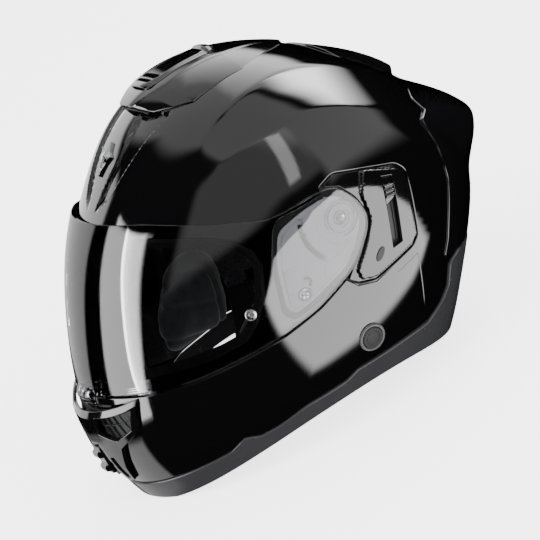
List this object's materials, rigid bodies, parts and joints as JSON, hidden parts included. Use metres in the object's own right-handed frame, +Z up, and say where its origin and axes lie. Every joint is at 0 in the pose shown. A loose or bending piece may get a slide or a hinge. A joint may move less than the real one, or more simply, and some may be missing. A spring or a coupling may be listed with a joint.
{
  "type": "full-face motorcycle helmet",
  "caption": "Gloss black full-face helmet with a flip-up smoked visor, drop-down sun visor, vents, padded lining and a buckled chin strap.",
  "frame": {"origin": "middle of the bounding box's underside, on the surface that the helmet's rim stands on", "axes": "+Z up, -Y straight ahead of the wearer, +X the wearer's left"},
  "size_m": [0.2436, 0.3484, 0.2519],
  "materials": {
    "gloss_shell": "clear-coated gloss black, mirror smooth",
    "gloss_cover": "moulded gloss black",
    "satin_trim": "satin charcoal, fine grain",
    "matt_plastic": "matt black, fine moulded grain",
    "grey_plastic": "satin mid grey",
    "buckle_red": "satin red pull tab",
    "smoked_lens": "smoked polycarbonate, polished",
    "sun_lens": "dark smoked polycarbonate, polished",
    "gasket_rubber": "soft matt black",
    "impact_foam": "expanded bead foam, dark",
    "lining_cloth": "brushed knit over foam",
    "neck_vinyl": "grained black leatherette",
    "strap_webbing": "woven black webbing",
    "screw_steel": "plain zinc",
    "badge_chrome": "bright plated"
  },
  "bodies": {
    "helmet": {"outer_shell": "gloss_shell", "impact_liner": "impact_foam", "chin_liner": "impact_foam", "cheek_block_left": "impact_foam", "cheek_block_right": "impact_foam", "comfort_liner": "lining_cloth", "cheek_pad_left": "lining_cloth", "cheek_pad_right": "lining_cloth", "neck_roll": "neck_vinyl", "lower_trim": "satin_trim", "eyeport_gasket": "gasket_rubber", "base_plate_left": "grey_plastic", "base_plate_right": "grey_plastic", "pivot_screw_left": "screw_steel", "pivot_screw_right": "screw_steel", "base_plate_screw_left": "screw_steel", "base_plate_screw_right": "screw_steel", "side_cover_left": "gloss_cover", "side_cover_right": "gloss_cover", "side_badge_left": "badge_chrome", "side_badge_right": "badge_chrome", "forehead_badge": "badge_chrome", "port_ring": "grey_plastic", "port_cap": "matt_plastic", "top_vent_housing": "gloss_cover", "crown_exhaust": "gloss_cover", "rear_spoiler": "gloss_cover", "rear_grille_left": "matt_plastic", "rear_grille_right": "matt_plastic", "chin_vent_housing": "satin_trim", "chin_grille_left": "matt_plastic", "chin_grille_right": "matt_plastic", "breath_deflector": "gasket_rubber", "chin_curtain": "lining_cloth", "strap_anchor_left": "screw_steel", "strap_anchor_right": "screw_steel", "chin_strap_left": "strap_webbing", "chin_strap_right": "strap_webbing", "buckle_body": "matt_plastic", "buckle_tongue": "matt_plastic", "sun_visor_pivot_left": "matt_plastic", "sun_visor_pivot_right": "matt_plastic"},
    "visor": {"visor": "smoked_lens", "lens_pin_left": "grey_plastic", "lens_pin_right": "grey_plastic"},
    "sun_visor": {"sun_visor": "sun_lens"},
    "sun_visor_lever": {"sun_visor_lever": "matt_plastic"},
    "top_vent_slider": {"top_vent_slider": "gloss_cover"},
    "chin_vent_slider": {"chin_vent_slider": "satin_trim"},
    "buckle_lever": {"buckle_lever": "buckle_red"}
  },
  "joints": [
    {"name": "visor_pivot", "type": "hinge", "parent": "helmet", "child": "visor", "pos_m": [0, 0.01162, 0.13762], "axis": [-1, 0, 0], "range_deg": [0, 50]},
    {"name": "sun_visor_pivot", "type": "hinge", "parent": "helmet", "child": "sun_visor", "pos_m": [0, -0.00575, 0.15171], "axis": [1, 0, 0], "range_deg": [0, 35]},
    {"name": "sun_visor_lever_slide", "type": "slide", "parent": "helmet", "child": "sun_visor_lever", "axis": [0, -0.2785, -0.9604], "range_m": [0, 0.0251]},
    {"name": "top_vent_slide", "type": "hinge", "parent": "helmet", "child": "top_vent_slider", "pos_m": [0, 0.00012, 0.13751], "axis": [-1, 0, 0], "range_deg": [0, 5]},
    {"name": "chin_vent_slide", "type": "slide", "parent": "helmet", "child": "chin_vent_slider", "axis": [0, 0.0995, -0.995], "range_m": [0, 0.008]},
    {"name": "buckle_lever_hinge", "type": "hinge", "parent": "helmet", "child": "buckle_lever", "pos_m": [0.012, -0.0296, 0.01637], "axis": [0, 0.9763, -0.2164], "range_deg": [0, 25], "stiffness_Nm_per_rad": 0.02, "springref_deg": -17.19}
  ],
  "couplings": [
    {"joint": "sun_visor_lever_slide", "follows": "sun_visor_pivot", "m_per_rad": 0.0409}
  ]
}
